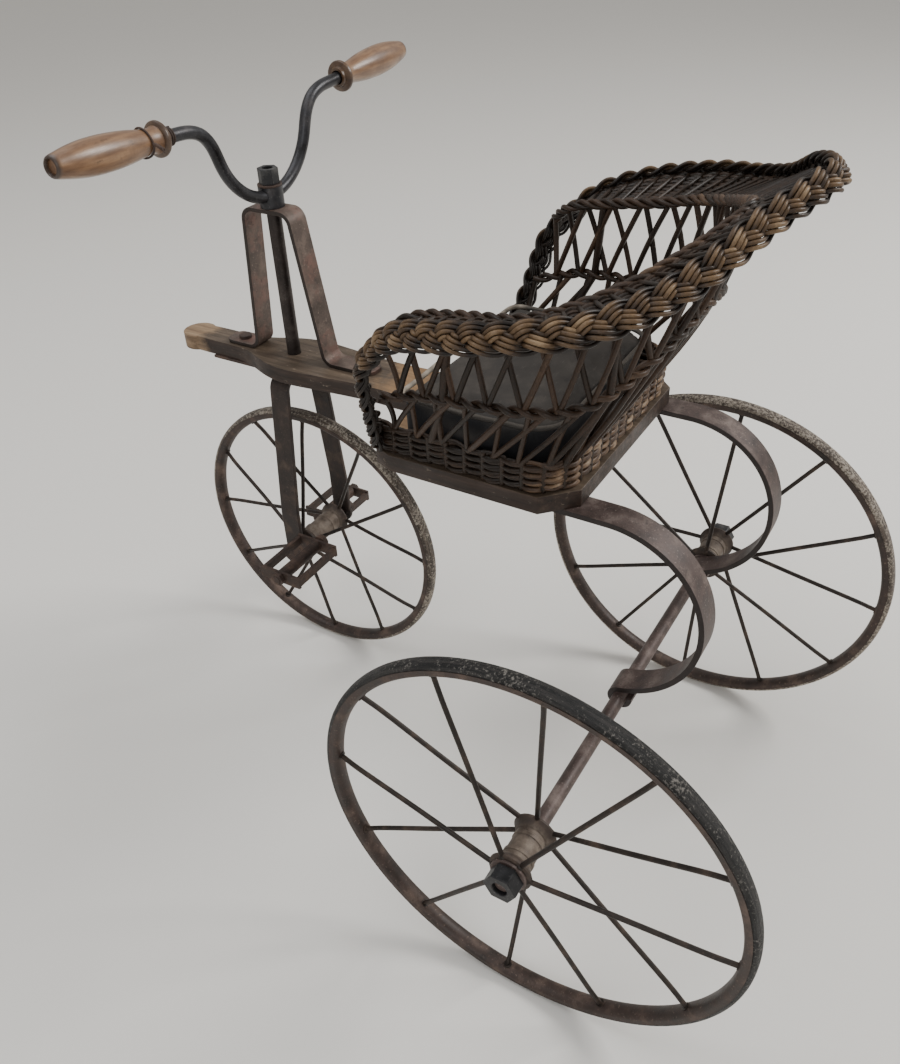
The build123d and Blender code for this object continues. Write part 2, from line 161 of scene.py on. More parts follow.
def worn_metal(name, base, dark, light, metallic=0.4, rough=(0.42, 0.75), scale=60, pits=0.25,
               shaded_side_axis=None, stain=None):
    """Old paint or iron: blotches, pale rubbed specks and fine pitting, with painted shade on the sides that
    face along one axis.
    """
    m = Mat(name)
    blotch = m.noise(scale, 6, 0.65)
    speck = m.noise(scale * 9, 3, 0.7)
    c = m.ramp(blotch, [(0.30, dark), (0.52, base), (0.76, light)])
    if stain:
        c = m.mix(m.grey(m.noise(scale * 0.55, 5, 0.7), 0.50, 0.62), c, stain)
    c = m.mix(m.grey(speck, 0.60, 0.72, 0, 0.8), c, light)
    c = m.mix(m.grey(m.noise(scale * 4, 4, 0.6), 0.55, 0.72, 0, 0.75), c, dark)
    # painted shade: faces turned along this axis are darkened towards near black
    if shaded_side_axis:
        side = m.node("ShaderNodeMath", {0: m.facing(shaded_side_axis)}, operation="ABSOLUTE").outputs[0]
        c = m.mix(m.grey(side, 0.55, 0.85, 0, 0.85), c, tuple(v * 0.35 for v in dark))
    n = m.bump(speck, pits, 0.0006)
    n = m.bump(blotch, 0.3, 0.0008, n)
    return m.done(c, m.grey(blotch, 0.3, 0.7, *rough), n, metallic)


def make_materials():
    mats = {
        "rusty_iron": worn_metal("rusty_iron", (0.052, 0.033, 0.026), (0.018, 0.012, 0.010),
                                 (0.15, 0.095, 0.068), 0.3, (0.45, 0.8), 70),
        "fork_iron": worn_metal("fork_iron", (0.036, 0.025, 0.021), (0.013, 0.009, 0.008),
                                (0.12, 0.085, 0.065), 0.35, (0.40, 0.7), 60),
        "bracket_iron": worn_metal("bracket_iron", (0.100, 0.072, 0.058), (0.036, 0.025, 0.020),
                                   (0.24, 0.18, 0.145), 0.3, (0.38, 0.7), 45, 0.35, "X",
                                   (0.150, 0.084, 0.066)),
        "dark_steel": worn_metal("dark_steel", (0.036, 0.027, 0.024), (0.012, 0.009, 0.008),
                                 (0.10, 0.085, 0.075), 0.55, (0.33, 0.6), 60),
        "bar_iron": worn_metal("bar_iron", (0.036, 0.036, 0.040), (0.014, 0.013, 0.014),
                               (0.11, 0.10, 0.10), 0.5, (0.28, 0.5), 40, 0.12),
        "nut_iron": worn_metal("nut_iron", (0.028, 0.028, 0.030), (0.010, 0.010, 0.011),
                               (0.12, 0.115, 0.11), 0.5, (0.32, 0.6), 70),
        "spring_paint": worn_metal("spring_paint", (0.082, 0.056, 0.049), (0.028, 0.019, 0.017),
                                   (0.25, 0.20, 0.175), 0.25, (0.40, 0.68), 55, 0.3, "X"),
        "axle_paint": worn_metal("axle_paint", (0.090, 0.062, 0.054), (0.032, 0.022, 0.019),
                                 (0.27, 0.215, 0.19), 0.25, (0.42, 0.7), 55),
        "hub_paint": hub_paint(),
        "rim_iron": worn_metal("rim_iron", (0.046, 0.029, 0.023), (0.014, 0.010, 0.008),
                               (0.17, 0.118, 0.09), 0.25, (0.38, 0.68), 48),
        "spoke_steel": worn_metal("spoke_steel", (0.026, 0.018, 0.014), (0.009, 0.007, 0.006),
                                  (0.11, 0.075, 0.055), 0.4, (0.38, 0.65), 80),
    }
    mats["black_tyre"] = tyre_skin("black_tyre", (X_AXLE + HUB_MID, Y_REAR, R_REAR),
                                   (0.005, 0.005, 0.005), (0.030, 0.027, 0.025), (0.20, 0.185, 0.165), 0.54)
    mats["pale_tyre"] = tyre_skin("pale_tyre", (X_AXLE - HUB_MID, Y_REAR, R_REAR),
                                  (0.045, 0.032, 0.025), (0.155, 0.122, 0.096), (0.42, 0.365, 0.30), 0.45)
    mats["pale_front_tyre"] = tyre_skin("pale_front_tyre", (X_BODY, Y_STEER, R_FRONT),
                                        (0.042, 0.030, 0.023), (0.150, 0.118, 0.092),
                                        (0.42, 0.37, 0.305), 0.46)
    mats["grip_wood"] = grip_wood("grip_wood", 1.0)
    mats["ferrule_wood"] = grip_wood("ferrule_wood", 0.42)
    mats["worn_board"] = board_wood()
    mats["wicker"] = cane("cane", (0.012, 0.007, 0.004), (0.050, 0.027, 0.015), (0.155, 0.094, 0.052),
                          (0.30, 0.225, 0.155))
    mats["wicker_plait"] = cane("cane_plait", (0.010, 0.006, 0.004), (0.038, 0.022, 0.012),
                                (0.125, 0.075, 0.037), (0.29, 0.200, 0.115))
    mats["oilcloth"] = oilcloth()
    return mats


def hub_paint():
    """Pale worn paint on the barrel, dark grease and rust on the flanges."""
    m = Mat("hub_paint")
    tone = m.tone()
    blotch = m.noise(90, 6, 0.65)
    c = m.ramp(blotch, [(0.3, (0.055, 0.038, 0.028)), (0.52, (0.135, 0.104, 0.080)),
                        (0.76, (0.27, 0.225, 0.18))])
    d = m.ramp(blotch, [(0.3, (0.020, 0.014, 0.011)), (0.55, (0.052, 0.036, 0.028)),
                        (0.8, (0.14, 0.10, 0.075))])
    c = m.mix(tone, c, d)
    n = m.bump(m.noise(600, 3, 0.7), 0.3, 0.0006)
    return m.done(c, m.grey(blotch, 0.3, 0.7, 0.45, 0.75), n, 0.25)


def tyre_skin(name, centre, dark, mid, light, cover):
    """Perished rubber: long grooves round the wheel, dust and chips."""
    m = Mat(name)
    at = m.node("ShaderNodeVectorMath", {0: m.pos, 1: centre}, operation="SUBTRACT").outputs[0]
    part = m.node("ShaderNodeSeparateXYZ", {"Vector": at}).outputs
    turn = m.node("ShaderNodeMath", {0: part["Z"], 1: part["Y"]}, operation="ARCTAN2").outputs[0]
    radius = m.node("ShaderNodeVectorMath", {0: at}, operation="LENGTH").outputs["Value"]
    around = m.node("ShaderNodeCombineXYZ", {"X": turn, "Y": part["X"], "Z": radius}).outputs[0]
    long = m.node("ShaderNodeMapping", {"Vector": around, "Scale": (5.0, 520.0, 260.0)}).outputs[0]
    streak = m.node("ShaderNodeTexNoise", {"Vector": long, "Scale": 1.0, "Detail": 6, "Roughness": 0.72})
    streak = streak.outputs["Fac"]
    chip = m.noise(430, 5, 0.75)
    patch = m.noise(24, 5, 0.65)
    c = m.mix(m.grey(streak, 0.44, 0.60), dark, mid)
    wear = m.sum(chip, m.grey(patch, 0.3, 0.7, -0.10, 0.10))
    c = m.mix(m.grey(wear, cover + 0.02, cover + 0.14), c, light)
    c = m.mix(m.grey(m.noise(900, 3, 0.7), 0.58, 0.70, 0, 0.9), c, dark)
    n = m.bump(streak, 1.0, 0.0022)
    n = m.bump(chip, 0.8, 0.0012, n)
    return m.done(c, m.grey(patch, 0.3, 0.7, 0.42, 0.75), n, 0.0, 0.0, 0.4)


def grip_wood(name, tint):
    m = Mat(name)
    grain = m.noise(95, 6, 0.62, (0.16, 1.7, 1.7))
    patch = m.noise(34, 5, 0.65)
    worn = m.noise(150, 5, 0.7, (0.5, 1.2, 1.2))
    tone = m.tone()
    stops = [(0.28, (0.085, 0.040, 0.020)), (0.5, (0.190, 0.102, 0.052)), (0.74, (0.33, 0.200, 0.112))]
    c = m.ramp(grain, [(p, tuple(v * tint for v in k)) for p, k in stops])
    c = m.mix(m.grey(patch, 0.48, 0.72, 0, 0.75), c, tuple(v * tint for v in (0.105, 0.052, 0.028)))
    c = m.mix(m.grey(worn, 0.60, 0.72, 0, 0.7), c, tuple(v * tint for v in (0.055, 0.030, 0.018)))
    c = m.mix(m.grey(tone, 0.0, 1.0, 0, 0.85), c, (0.022, 0.013, 0.009))
    n = m.bump(grain, 0.25, 0.0008)
    n = m.bump(worn, 0.2, 0.0005, n)
    return m.done(c, m.grey(patch, 0.3, 0.7, 0.26, 0.5), n, 0.0, 0.25)


def board_wood():
    """Brown varnish on the seat board, rubbed to tan at the nose, honey inside the seat, with painted shade
    on the board's sides.
    """
    m = Mat("worn_board")
    place = m.node("ShaderNodeSeparateXYZ", {"Vector": m.pos}).outputs
    y = place["Y"]
    off = m.node("ShaderNodeMath", {0: place["X"], 1: X_BODY}, operation="SUBTRACT").outputs[0]
    off = m.node("ShaderNodeMath", {0: off}, operation="ABSOLUTE").outputs[0]
    up = m.facing("Z")
    top = m.grey(up, 0.4, 0.8)
    grain = m.noise(75, 7, 0.62, (2.4, 0.14, 2.4))
    fine = m.noise(420, 4, 0.7, (1.4, 0.12, 1.4))
    patch = m.noise(26, 6, 0.65)
    # painted shade: faces that do not face up get this darker copy of the deck's grain colours
    side = m.ramp(grain, [(0.3, (0.012, 0.007, 0.005)), (0.55, (0.034, 0.020, 0.014)),
                          (0.78, (0.085, 0.054, 0.037))])
    deck = m.ramp(grain, [(0.3, (0.042, 0.029, 0.020)), (0.55, (0.098, 0.071, 0.049)),
                          (0.78, (0.18, 0.135, 0.095))])
    tan = m.ramp(grain, [(0.28, (0.12, 0.073, 0.042)), (0.5, (0.245, 0.162, 0.094)),
                         (0.74, (0.38, 0.272, 0.168))])
    c = m.mix(top, side, deck)
    rough_line = m.sum(y, m.grey(patch, 0.3, 0.7, -0.016, 0.016))
    c = m.mix(m.grey(rough_line, -0.322, -0.340, 0, 0.9), c, tan)
    inside = m.product(m.grey(rough_line, -0.112, -0.090), top)
    inside = m.product(inside, m.grey(off, 0.112, 0.100))
    inside = m.product(inside, m.grey(y, 0.02, -0.02))
    c = m.mix(inside, c, m.mix(0.45, tan, (0.34, 0.19, 0.085)))
    c = m.mix(m.grey(fine, 0.55, 0.7, 0, 0.45), c, (0.03, 0.018, 0.012))
    c = m.mix(m.grey(m.noise(300, 4, 0.7, (1, 0.3, 1)), 0.64, 0.72, 0, 0.6), c, (0.34, 0.27, 0.20))
    n = m.bump(grain, 0.35, 0.0012)
    n = m.bump(fine, 0.25, 0.0006, n)
    return m.done(c, m.grey(patch, 0.3, 0.7, 0.38, 0.66), n, 0.0, 0.0, 0.35)


def cane(name, dark, mid, light, bleached_and_highlight):
    """Varnished cane; each cane's tone comes from its mesh, on the plait with painted shade and highlights.
    """
    m = Mat(name)
    tone = m.tone()
    streak = m.noise(520, 4, 0.65)
    patch = m.noise(38, 5, 0.6)
    mixed = m.sum(tone, m.grey(patch, 0.3, 0.7, -0.14, 0.14))
    mixed = m.sum(mixed, m.grey(streak, 0.3, 0.7, -0.14, 0.14))
    mixed = m.grey(mixed, -0.1, 1.6)
    c = m.ramp(mixed, [(0.08, dark), (0.33, mid), (0.64, light), (0.92, bleached_and_highlight)])
    n = m.bump(streak, 0.35, 0.0005)
    return m.done(c, m.grey(patch, 0.3, 0.7, 0.38, 0.58), n, 0.0, 0.06, 0.3)


def oilcloth():
    m = Mat("oilcloth")
    tone = m.tone()
    patch = m.noise(30, 7, 0.66)
    scratch = m.noise(160, 5, 0.7, (0.5, 2.4, 1.0))
    top = m.facing("Z")
    c = m.ramp(patch, [(0.3, (0.018, 0.015, 0.013)), (0.55, (0.040, 0.034, 0.029)),
                         (0.78, (0.080, 0.069, 0.058))])
    c = m.mix(m.grey(scratch, 0.60, 0.74, 0, 0.5), c, (0.13, 0.113, 0.095))
    # painted shade: faces that turn away from straight up are darkened towards near black
    c = m.mix(m.grey(top, 0.75, 0.30), c, (0.016, 0.016, 0.018))
    c = m.mix(tone, c, (0.36, 0.31, 0.25))
    n = m.bump(patch, 0.3, 0.0015)
    n = m.bump(m.noise(900, 3, 0.6), 0.25, 0.0004, n)
    return m.done(c, m.grey(patch, 0.3, 0.7, 0.55, 0.78), n, 0.0, 0.0, 0.35)


MATS = make_materials()


# ---------------------------------------------------------------- mesh helpers
def smooth(mesh, angle=None):
    mesh.shade_smooth()
    if angle:
        mesh.set_sharp_from_angle(angle=math.radians(angle))


def piece(name, mesh, body, mat, nodes=()):
    """Links a new piece that rides on a body and stands for CAD nodes."""
    ob = bpy.data.objects.new(name, mesh)
    bpy.context.scene.collection.objects.link(ob)
    mesh.materials.clear()
    mesh.materials.append(MATS[mat])
    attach(ob, body)
    if nodes:
        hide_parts(*nodes)
    return ob


def tubes(name, paths, radii, tones, sides=8):
    """One mesh of round strands, each with its own radius and tone."""
    verts, faces, tone = [], [], []
    turn = np.linspace(0, 2 * math.pi, sides, endpoint=False)
    cs, sn = np.cos(turn), np.sin(turn)
    for path, radius, shade in zip(paths, radii, tones):
        p = np.asarray(path, float)
        n = len(p)
        r = np.broadcast_to(np.asarray(radius, float), (n,))
        t = np.gradient(p, axis=0)
        t /= np.linalg.norm(t, axis=1)[:, None]
        side = np.cross(t[0], (0.31, 0.22, 0.92))
        frames = np.empty((n, 3))
        for i in range(n):
            side = side - t[i] * side.dot(t[i])
            side /= np.linalg.norm(side)
            frames[i] = side
        other = np.cross(t, frames)
        ring = (p[:, None] + r[:, None, None] * (cs[None, :, None] * frames[:, None]
                                                  + sn[None, :, None] * other[:, None]))
        start = sum(len(v) for v in verts)
        verts.append(ring.reshape(-1, 3))
        i, j = np.meshgrid(np.arange(n - 1), np.arange(sides), indexing="ij")
        a, b = i * sides + j, i * sides + (j + 1) % sides
        quads = np.stack([a, b, b + sides, a + sides], -1).reshape(-1, 4) + start
        faces.extend(quads.tolist())
        faces.append(list(range(start + sides - 1, start - 1, -1)))
        faces.append(list(range(start + (n - 1) * sides, start + n * sides)))
        tone.append(np.full(n * sides, shade, float) if np.isscalar(shade) else np.repeat(shade, sides))
    mesh = bpy.data.meshes.new(name)
    mesh.from_pydata(np.concatenate(verts).tolist(), [], faces)
    mesh.update()
    attr = mesh.attributes.new("tone", "FLOAT", "POINT")
    attr.data.foreach_set("value", np.concatenate(tone).astype(np.float32))
    smooth(mesh, 60)
    return mesh


def lathe(name, profile, centre, axis=(1, 0, 0), segments=72, tones=None, relief=None):
    """A mesh turned round an axis through centre from (along, radius) points."""
    axis = np.asarray(axis, float)
    axis /= np.linalg.norm(axis)
    u = np.cross(axis, (0, 0, 1.0))
    u /= np.linalg.norm(u)
    w = np.cross(axis, u)
    a = np.linspace(0, 2 * math.pi, segments, endpoint=False)
    n = len(profile)
    verts = []
    for k, (s, r) in enumerate(profile):
        rr = r + (relief(k, a) if relief else 0 * a)
        verts.append(np.asarray(centre) + s * axis
                     + rr[:, None] * (np.cos(a)[:, None] * u + np.sin(a)[:, None] * w))
    i, j = np.meshgrid(np.arange(n), np.arange(segments), indexing="ij")
    i2, j2 = (i + 1) % n, (j + 1) % segments
    faces = np.stack([i * segments + j, i * segments + j2,
                      i2 * segments + j2, i2 * segments + j], -1).reshape(-1, 4)
    mesh = bpy.data.meshes.new(name)
    mesh.from_pydata(np.concatenate(verts).tolist(), [], faces.tolist())
    bm = bmesh.new()
    bm.from_mesh(mesh)
    bmesh.ops.recalc_face_normals(bm, faces=bm.faces)
    bm.to_mesh(mesh)
    bm.free()
    attr = mesh.attributes.new("tone", "FLOAT", "POINT")
    attr.data.foreach_set("value", np.repeat(tones if tones else [0.0] * n, segments).astype(np.float32))
    smooth(mesh, 40)
    return mesh


def softened(node, name, body, mat, width, segments=2, angle=30):
    """The CAD node's own shape with its sharp edges rounded over."""
    mesh = NODES[node].data.copy()
    bm = bmesh.new()
    bm.from_mesh(mesh)
    bmesh.ops.remove_doubles(bm, verts=bm.verts, dist=2e-6)
    bmesh.ops.dissolve_limit(bm, angle_limit=math.radians(0.6), verts=bm.verts, edges=bm.edges)
    bm.to_mesh(mesh)
    bm.free()
    ob = piece(name, mesh, body, mat, [node])
    mod = ob.modifiers.new("edge", "BEVEL")
    mod.width, mod.segments, mod.limit_method = width, segments, "ANGLE"
    mod.angle_limit = math.radians(angle)
    mod.harden_normals = False
    smooth(mesh, 35)
    return ob


# ---------------------------------------------------------------- wicker curves
def mirrored(stations):
    left = [(X_BODY + w * MM, y * MM, z * MM) for w, y, z in stations]
    right = [(X_BODY - w * MM, y * MM, z * MM) for w, y, z in reversed(stations[:-1])]
    return np.array(left + right)


def curve(points, t):
    """Smooth curve through the points; t counts points from 0."""
    p = np.asarray(points, float)
    n = len(p)
    m = np.gradient(p, axis=0)
    t = np.clip(np.asarray(t, float), 0, n - 1 - 1e-9)
    i = t.astype(int)
    f = (t - i)[:, None]
    h = [2 * f**3 - 3 * f**2 + 1, f**3 - 2 * f**2 + f, -2 * f**3 + 3 * f**2, f**3 - f**2]
    return h[0] * p[i] + h[1] * m[i] + h[2] * p[i + 1] + h[3] * m[i + 1]


def even(points, count, lo=0.0, hi=1.0):
    """Parameters of points spread evenly along a curve's length."""
    t = np.linspace(0, len(points) - 1, 1500)
    p = curve(points, t)
    d = np.r_[0, np.cumsum(np.linalg.norm(np.diff(p, axis=0), axis=1))]
    return np.interp(np.linspace(lo, hi, count) * d[-1], d, t), d[-1]


def respaced(points, count=33):
    """The same curve through a set number of evenly spaced points."""
    t, _ = even(points, count)
    return curve(points, t)


LEVELS = {k: respaced(mirrored(v)) for k, v in
          dict(low=BASE_LOW, high=BASE_HIGH, mid=MID, rope=ROPE, rim=RIM).items()}


def wall(a, b, t, v):
    """Points at height v between two levels, with the outward normal."""
    pa, pb = curve(LEVELS[a], t), curve(LEVELS[b], t)
    p = pa + (pb - pa) * np.asarray(v)[..., None]
    along = np.gradient(p, axis=0)
    n = np.cross(along, pb - pa)
    n /= np.maximum(np.linalg.norm(n, axis=1), 1e-9)[:, None]
    return p, n


def weave(a, b, v, stakes, depth, phase, count=560, wobble=0.0):
    """One weaver along a wall, passing in front of and behind the stakes."""
    t, _ = even(LEVELS[b if v > 0.5 else a], count)
    p, n = wall(a, b, t, np.full(count, v))
    k = np.linspace(0, stakes, count)
    off = depth * np.sin(math.pi * k + phase)
    drift = wobble * np.sin(k * 0.9 + phase * 3.1)
    return p + n * off[:, None] + np.array([0, 0, 1]) * drift[:, None]


def wicker():
    wicker_base()
    wicker_stakes("lower_lattice", "lower_stakes", "high", "mid", -0.003, 0.75)
    wicker_stakes("upper_lattice", "upper_stakes", "mid", "rope", 0.0, 0.98)
    twist("mid_band_twist", "mid_band", "mid", 2, 0.0026, 0.0025, 0.030, 0.25)
    twist("brim_rope_twist", "brim_rope", "rope", 3, 0.0028, 0.0023, 0.036, 0.22)
    brim()
    plait()


def wicker_base():
    """Close flat weaving over stakes, bleached along the back."""
    rows, stakes = 8, 32
    paths, radii, tones = [], [], []
    for r in range(rows):
        v = (r + 0.5) / rows
        for pair in (0, 1):
            p = weave("low", "high", min(max(v + 0.06 * (pair - 0.5), 0.03), 0.98), stakes, 0.0022,
                      math.pi * (r % 2) + 0.35 * pair, 640, 0.0008)
            paths.append(p)
            radii.append(0.0018 * rng.uniform(0.88, 1.12))
            back = np.clip((p[:, 1] - 0.095) / 0.035, 0, 1)
            fleck = np.interp(np.arange(640), np.arange(0, 641, 12), [rng.uniform(0, 1) for _ in range(54)])
            tones.append(0.22 + rng.uniform(-0.10, 0.16) + back * (0.15 + 1.0 * fleck**2) - 0.15 * (1 - back))
    t, _ = even(LEVELS["high"], stakes + 1)
    for a, b in zip(curve(LEVELS["low"], t), curve(LEVELS["high"], t)):
        paths.append(np.linspace(a, b, 4))
        radii.append(0.0027)
        tones.append(0.15)
    piece("basket_base_weave", tubes("basket_base_weave", paths, radii, tones), "frame", "wicker",
          ["basket_base"])


def wicker_stakes(name, node, low, high, start, lean_by):
    """Crossing canes, one layer leaning each way, each a little uneven."""
    count = 23
    tl, _ = even(LEVELS[low], 1500)
    th, _ = even(LEVELS[high], 1500)
    paths, radii, tones = [], [], []
    centre = np.array([X_BODY, 0.06, 0])

    def pick(table, s):
        return table[int(np.clip(0.012 + 0.976 * s, 0, 1) * 1499)]

    for i in range(count):
        for lean in (-1, 1):
            u = (i + 0.5) / count
            v = u + lean * lean_by * (1 if lean > 0 else 0.88) / count + rng.uniform(-0.005, 0.005)
            a = curve(LEVELS[low], [pick(tl, u + rng.uniform(-0.003, 0.003))])[0]
            b = curve(LEVELS[high], [pick(th, v)])[0]
            a = a + np.array([0, 0, start])
            out = (a + b) / 2 - centre
            out[2] = 0
            out /= np.linalg.norm(out)
            s = np.linspace(0, 1, 9)[:, None]
            bow = rng.uniform(-0.0012, 0.0030) * np.sin(math.pi * s)
            cross = lean * 0.0025 * np.sin(math.pi * s)
            paths.append(a + (b - a) * s + out * (bow + cross))
            radii.append(0.0024 * rng.uniform(0.88, 1.15))
            tones.append(rng.uniform(0.02, 0.42))
    for s, r in ((0.10, 0.0036), (0.31, 0.0034), (0.5, 0.0032), (0.69, 0.0034), (0.90, 0.0036)):
        a, b = (curve(LEVELS[k], [np.interp(s, np.linspace(0, 1, 1500), tt)])[0]
                for k, tt in ((low, tl), (high, th)))
        paths.append(np.linspace(a + np.array([0, 0, start]), b, 6))
        radii.append(r)
        tones.append(0.15)
    piece(name, tubes(name, paths, radii, tones), "frame", "wicker", [node])


def twist(name, node, level, strands, amp, radius, pitch, tone):
    """Strands twisted round each other along a level."""
    count = 620
    t, length = even(LEVELS[level], count)
    p = curve(LEVELS[level], t)
    _, n = wall("mid" if level == "rope" else "high", level, t, np.ones(count))
    along = np.gradient(p, axis=0)
    up = np.cross(along, n)
    up /= np.linalg.norm(up, axis=1)[:, None]
    a = 2 * math.pi * np.linspace(0, length, count) / pitch
    back = np.clip((p[:, 1] - 0.10) / 0.06, 0, 1)
    paths = []
    for k in range(strands):
        ph = a + 2 * math.pi * k / strands
        paths.append(p + n * (amp * np.cos(ph))[:, None] + up * (amp * np.sin(ph))[:, None])
    radii = [radius] * strands
    tones = [tone + 0.12 * (k - 1) + 0.30 * back * (0.5 + 0.5 * np.sin(a * 0.31 + k)) for k in range(strands)]
    piece(name, tubes(name, paths, radii, tones), "frame", "wicker", [node])


def brim():
    """Closely woven band turned outward from the rope to the border."""
    rows, stakes = 19, 58
    paths, radii, tones = [], [], []
    for r in range(rows):
        v = (r + 0.5) / rows
        p = weave("rope", "rim", v, stakes, 0.0018, math.pi * (r % 2), 620)
        t, _ = even(LEVELS["rim" if v > 0.5 else "rope"], 620)
        width = np.linalg.norm(curve(LEVELS["rim"], t) - curve(LEVELS["rope"], t), axis=1)
        p[:, 2] -= 0.004 * np.sin(math.pi * v)
        paths.append(p)
        radii.append(np.clip(0.56 * width / rows, 0.0006, 0.0026))
        tones.append(0.14 + rng.uniform(-0.12, 0.14))
    t, _ = even(LEVELS["rim"], stakes + 1)
    for k in t:
        a, b = curve(LEVELS["rope"], [k])[0], curve(LEVELS["rim"], [k])[0]
        paths.append(np.linspace(a, b, 6))
        radii.append(0.0019)
        tones.append(0.10)
    piece("brim_weave", tubes("brim_weave", paths, radii, tones, 6), "frame", "wicker",
          ["basket_brim"])


def plait():
    """Three-strand plait of four canes each, round the brim and down the front, with painted shade where
    canes pass under and painted highlights where they cross over.
    """
    foot = [(X_BODY + w * MM, y * MM, z * MM) for w, y, z in RIM_FOOT]
    mirror = [(2 * X_BODY - x, y, z) for x, y, z in reversed(foot)]
    line = np.array(foot + LEVELS["rim"].tolist() + mirror)
    count = 1000
    t, length = even(line, count)
    p = curve(line, t)
    along = np.gradient(p, axis=0)
    along /= np.linalg.norm(along, axis=1)[:, None]
    out = p - np.array([X_BODY, 0.07, 0])
    out[:, 2] = 0
    out /= np.linalg.norm(out, axis=1)[:, None]
    face = out * 0.75 + np.array([0, 0, 0.66])
    face -= along * (face * along).sum(1)[:, None]
    face /= np.linalg.norm(face, axis=1)[:, None]
    across = np.cross(along, face)
    pitch, lateral, depth, r, canes = 0.058, 0.0054, 0.0036, 0.00158, 4
    turn = 2 * math.pi * np.linspace(0, length, count) / pitch
    back = np.clip((p[:, 1] + 0.02) / 0.28, 0, 1)
    low = np.clip((0.50 - p[:, 2]) / 0.03, 0, 1)
    paths, radii, tones = [], [], []
    for strand in range(3):
        a = turn + 2 * math.pi * strand / 3
        slope = lateral * 2 * math.pi / pitch * np.cos(a)
        norm = np.sqrt(1 + slope**2)
        for c in range(canes):
            q = (c - (canes - 1) / 2) * 2.05 * r
            arch = -0.9 * r * (abs(c - (canes - 1) / 2) - 0.5)
            lat = lateral * np.sin(a) + q / norm
            shift = -q * slope / norm
            over = np.sin(2 * a)
            dep = depth * over + arch
            paths.append(p + across * lat[:, None] + along * shift[:, None] + face * dep[:, None])
            radii.append(r * rng.uniform(0.93, 1.08))
            # painted shade and highlight: each cane darkens where it passes under and lightens where it
            # crosses over
            shade = 0.36 + 0.62 * over + rng.uniform(-0.28, 0.28) + 0.14 * np.sin(a * 0.37 + c)
            shade += back * (-0.05 + 0.20 * np.sin(a * 0.53 + 2 * c)) - 0.45 * low
            tones.append(np.clip(shade, 0, 1.4))
    piece("border_plait", tubes("border_plait", paths, radii, tones, 8), "frame", "wicker_plait",
          ["basket_border"])


# ---------------------------------------------------------------- seat pad
def pad_outline(lo, hi, inset, count):
    """Points round the pad's plan: straight front, rounded back corners."""
    w = (hi.x - lo.x) / 2 - inset
    y0, y1 = lo.y + inset, hi.y - inset
    r_front, r_back = 0.012, 0.030
    pts = []
    for cx, cy, r, start in ((w, y0, r_front, 270), (w, y1, r_back, 0),
                             (-w, y1, r_back, 90), (-w, y0, r_front, 180)):
        mx, my = cx - math.copysign(r, cx), cy + (r if cy == y0 else -r)
        for k in range(9):
            t = math.radians(start + 90 * k / 8)
            pts.append((X_BODY + mx + r * math.cos(t), my + r * math.sin(t)))
    p = np.array(pts + pts[:1])
    d = np.r_[0, np.cumsum(np.linalg.norm(np.diff(p, axis=0), axis=1))]
    s = np.linspace(0, d[-1], count, endpoint=False)
    return np.stack([np.interp(s, d, p[:, 0]), np.interp(s, d, p[:, 1])], -1)


def pad_start(lo, hi):
    """Closed box a little smaller than the finished pad."""
    ring = pad_outline(lo, hi, 0.004, 160)
    n = len(ring)
    verts = [(x, y, lo.z + 0.0005) for x, y in ring] + [(x, y, hi.z - 0.006) for x, y in ring]
    faces = [tuple(range(n - 1, -1, -1)), tuple(range(n, 2 * n))]
    faces += [(k, (k + 1) % n, n + (k + 1) % n, n + k) for k in range(n)]
    mesh = bpy.data.meshes.new("pad_cloth")
    mesh.from_pydata([tuple(map(float, v)) for v in verts], [], faces)
    mesh.update()
    return mesh


def puff(ob, steps=PAD_STEPS, limit=PAD_LIMIT):
    """Inflates a closed skin with the cloth solver and keeps the shape, each point moved by at most limit."""
    rest = np.array([v.co[:] for v in ob.data.vertices])
    cloth = ob.modifiers.new("cloth", "CLOTH")
    st = cloth.settings
    st.quality, st.mass, st.air_damping = 6, 0.25, 2.0
    st.tension_stiffness = st.compression_stiffness = 18
    st.shear_stiffness, st.bending_stiffness = 8, 0.6
    st.use_pressure, st.uniform_pressure_force = True, PAD_PRESSURE
    st.effector_weights.gravity = 0
    cloth.collision_settings.use_self_collision = False
    scene = bpy.context.scene
    for f in range(1, steps + 1):
        scene.frame_set(f)
    shaped = ob.evaluated_get(bpy.context.evaluated_depsgraph_get())
    moved = np.array([v.co[:] for v in shaped.data.vertices])
    ob.modifiers.remove(cloth)
    scene.frame_set(1)
    step = moved - rest
    size = np.linalg.norm(step, axis=1)
    step *= np.minimum(1, limit / np.maximum(size, 1e-9))[:, None]
    ob.data.vertices.foreach_set("co", (rest + step).astype(np.float32).ravel())
    ob.data.update()


